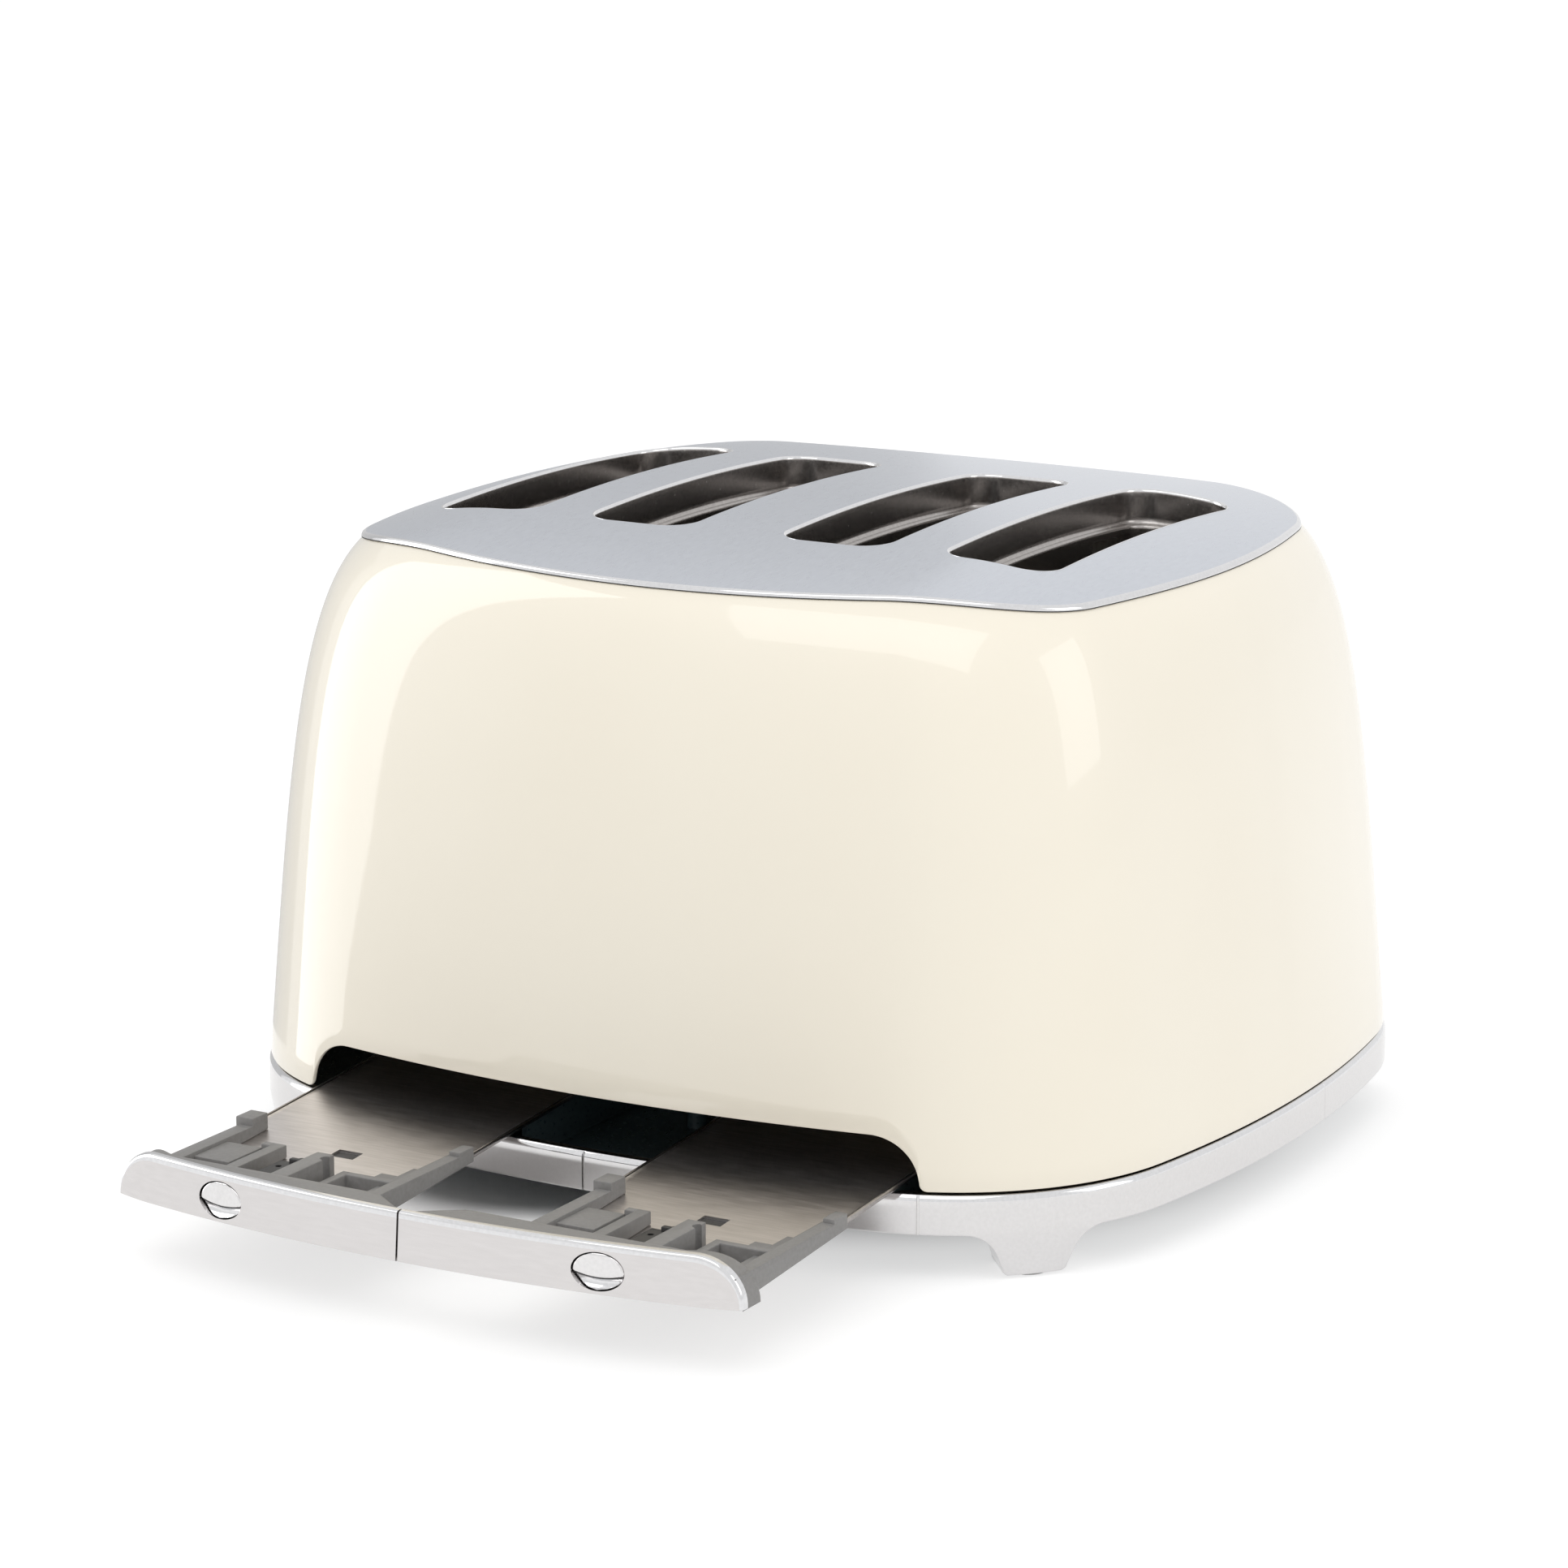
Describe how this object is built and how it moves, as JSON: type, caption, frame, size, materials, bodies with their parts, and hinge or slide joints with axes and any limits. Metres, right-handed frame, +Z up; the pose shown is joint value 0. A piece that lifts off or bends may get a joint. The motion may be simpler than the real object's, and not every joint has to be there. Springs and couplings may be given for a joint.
{
  "type": "pop-up toaster",
  "caption": "Wide pop-up toaster: bowed enamel shell, crowned steel top with long slots, lift levers, browning dials, push buttons and sloping pull-out crumb trays.",
  "frame": {"origin": "on the worktop, under the middle of the body", "axes": "+Z up, +X across the slots to the right of a person at the levers, -Y towards that person, crumb trays leave at +Y"},
  "size_m": [0.3466, 0.4438, 0.215],
  "materials": {
    "cream_enamel": "gloss cream enamel",
    "satin_steel": "satin brushed",
    "liner_steel": "polished, slightly heat tinted",
    "ring_chrome": "polished",
    "fascia_steel": "fine brushed",
    "pan_steel": "brushed sheet",
    "push_chrome": "polished",
    "knob_chrome": "polished",
    "sheet_steel": "plain rolled sheet and wire",
    "grey_plastic": "moulded, satin",
    "black_plastic": "moulded, satin",
    "mica": "mica sheet with flat ribbon",
    "board": "circuit board",
    "rubber": "matte"
  },
  "bodies": {
    "body": {"base_pan": "black_plastic", "base_ring": "ring_chrome", "base_screws": "sheet_steel", "body_shell": "cream_enamel", "control_board_left": "board", "control_board_right": "board", "cord_gland": "rubber", "dial_ring_left": "ring_chrome", "dial_ring_right": "ring_chrome", "foot_pads": "rubber", "front_chassis": "sheet_steel", "guide_rods_left": "sheet_steel", "guide_rods_right": "sheet_steel", "heater_card_left_inner": "mica", "heater_card_left_middle": "mica", "heater_card_left_outer": "mica", "heater_card_right_inner": "mica", "heater_card_right_middle": "mica", "heater_card_right_outer": "mica", "hold_magnet_left": "sheet_steel", "hold_magnet_right": "sheet_steel", "rear_chassis": "sheet_steel", "return_spring_left": "sheet_steel", "return_spring_right": "sheet_steel", "slot_liner_1": "liner_steel", "slot_liner_2": "liner_steel", "slot_liner_3": "liner_steel", "slot_liner_4": "liner_steel", "terminal_block": "black_plastic", "top_plate": "satin_steel"},
    "left_lift": {"carriage_left": "sheet_steel", "lever_knob_left": "knob_chrome", "bread_rack_1": "sheet_steel", "bread_rack_2": "sheet_steel"},
    "left_guards_out": {"bread_guards_left_out": "sheet_steel"},
    "left_guards_in": {"bread_guards_left_in": "sheet_steel"},
    "left_dial": {"dial_knob_left": "knob_chrome"},
    "left_defrost": {"defrost_button_left": "knob_chrome"},
    "left_reheat": {"reheat_button_left": "knob_chrome"},
    "left_cancel": {"cancel_button_left": "knob_chrome"},
    "left_tray": {"tray_fascia_left": "fascia_steel", "tray_frame_left": "grey_plastic", "tray_pan_left": "pan_steel"},
    "left_push": {"tray_push_left": "push_chrome", "tray_latch_left": "black_plastic"},
    "right_lift": {"carriage_right": "sheet_steel", "lever_knob_right": "knob_chrome", "bread_rack_3": "sheet_steel", "bread_rack_4": "sheet_steel"},
    "right_guards_out": {"bread_guards_right_out": "sheet_steel"},
    "right_guards_in": {"bread_guards_right_in": "sheet_steel"},
    "right_dial": {"dial_knob_right": "knob_chrome"},
    "right_defrost": {"defrost_button_right": "knob_chrome"},
    "right_reheat": {"reheat_button_right": "knob_chrome"},
    "right_cancel": {"cancel_button_right": "knob_chrome"},
    "right_tray": {"tray_fascia_right": "fascia_steel", "tray_frame_right": "grey_plastic", "tray_pan_right": "pan_steel"},
    "right_push": {"tray_push_right": "push_chrome", "tray_latch_right": "black_plastic"}
  },
  "joints": [
    {"name": "left_lever", "type": "slide", "parent": "body", "child": "left_lift", "axis": [0, 0, -1], "range_m": [0, 0.055], "stiffness_N_per_m": 60, "springref_m": -0.1, "deforming": ["return_spring_left"]},
    {"name": "left_guards_out_slide", "type": "slide", "parent": "body", "child": "left_guards_out", "axis": [1, 0, 0], "range_m": [0, 0.006]},
    {"name": "left_guards_in_slide", "type": "slide", "parent": "body", "child": "left_guards_in", "axis": [-1, 0, 0], "range_m": [0, 0.006]},
    {"name": "left_dial_turn", "type": "hinge", "parent": "body", "child": "left_dial", "pos_m": [-0.06615, -0.165, 0.07], "axis": [0, 1, 0], "range_deg": [-135, 135]},
    {"name": "left_defrost_press", "type": "slide", "parent": "body", "child": "left_defrost", "axis": [0, 1, 0], "range_m": [0, 0.0025], "stiffness_N_per_m": 400, "springref_m": -0.001},
    {"name": "left_reheat_press", "type": "slide", "parent": "body", "child": "left_reheat", "axis": [0, 1, 0], "range_m": [0, 0.0025], "stiffness_N_per_m": 400, "springref_m": -0.001},
    {"name": "left_cancel_press", "type": "slide", "parent": "body", "child": "left_cancel", "axis": [0, 1, 0], "range_m": [0, 0.0025], "stiffness_N_per_m": 400, "springref_m": -0.001},
    {"name": "left_tray_slide", "type": "slide", "parent": "body", "child": "left_tray", "axis": [0, 0.9976, -0.0698], "range_m": [-0.105, 0.12]},
    {"name": "left_tray_push", "type": "slide", "parent": "left_tray", "child": "left_push", "axis": [0, -1, 0], "range_m": [0, 0.003], "stiffness_N_per_m": 300, "springref_m": -0.001},
    {"name": "right_lever", "type": "slide", "parent": "body", "child": "right_lift", "axis": [0, 0, -1], "range_m": [0, 0.055], "stiffness_N_per_m": 60, "springref_m": -0.1, "deforming": ["return_spring_right"]},
    {"name": "right_guards_out_slide", "type": "slide", "parent": "body", "child": "right_guards_out", "axis": [1, 0, 0], "range_m": [0, 0.006]},
    {"name": "right_guards_in_slide", "type": "slide", "parent": "body", "child": "right_guards_in", "axis": [-1, 0, 0], "range_m": [0, 0.006]},
    {"name": "right_dial_turn", "type": "hinge", "parent": "body", "child": "right_dial", "pos_m": [0.06615, -0.165, 0.07], "axis": [0, 1, 0], "range_deg": [-135, 135]},
    {"name": "right_defrost_press", "type": "slide", "parent": "body", "child": "right_defrost", "axis": [0, 1, 0], "range_m": [0, 0.0025], "stiffness_N_per_m": 400, "springref_m": -0.001},
    {"name": "right_reheat_press", "type": "slide", "parent": "body", "child": "right_reheat", "axis": [0, 1, 0], "range_m": [0, 0.0025], "stiffness_N_per_m": 400, "springref_m": -0.001},
    {"name": "right_cancel_press", "type": "slide", "parent": "body", "child": "right_cancel", "axis": [0, 1, 0], "range_m": [0, 0.0025], "stiffness_N_per_m": 400, "springref_m": -0.001},
    {"name": "right_tray_slide", "type": "slide", "parent": "body", "child": "right_tray", "axis": [0, 0.9976, -0.0698], "range_m": [-0.105, 0.12]},
    {"name": "right_tray_push", "type": "slide", "parent": "right_tray", "child": "right_push", "axis": [0, -1, 0], "range_m": [0, 0.003], "stiffness_N_per_m": 300, "springref_m": -0.001}
  ],
  "couplings": [
    {"joint": "left_guards_out_slide", "follows": "left_lever", "ratio": 0.109},
    {"joint": "left_guards_in_slide", "follows": "left_lever", "ratio": 0.109},
    {"joint": "right_guards_out_slide", "follows": "right_lever", "ratio": 0.109},
    {"joint": "right_guards_in_slide", "follows": "right_lever", "ratio": 0.109}
  ]
}
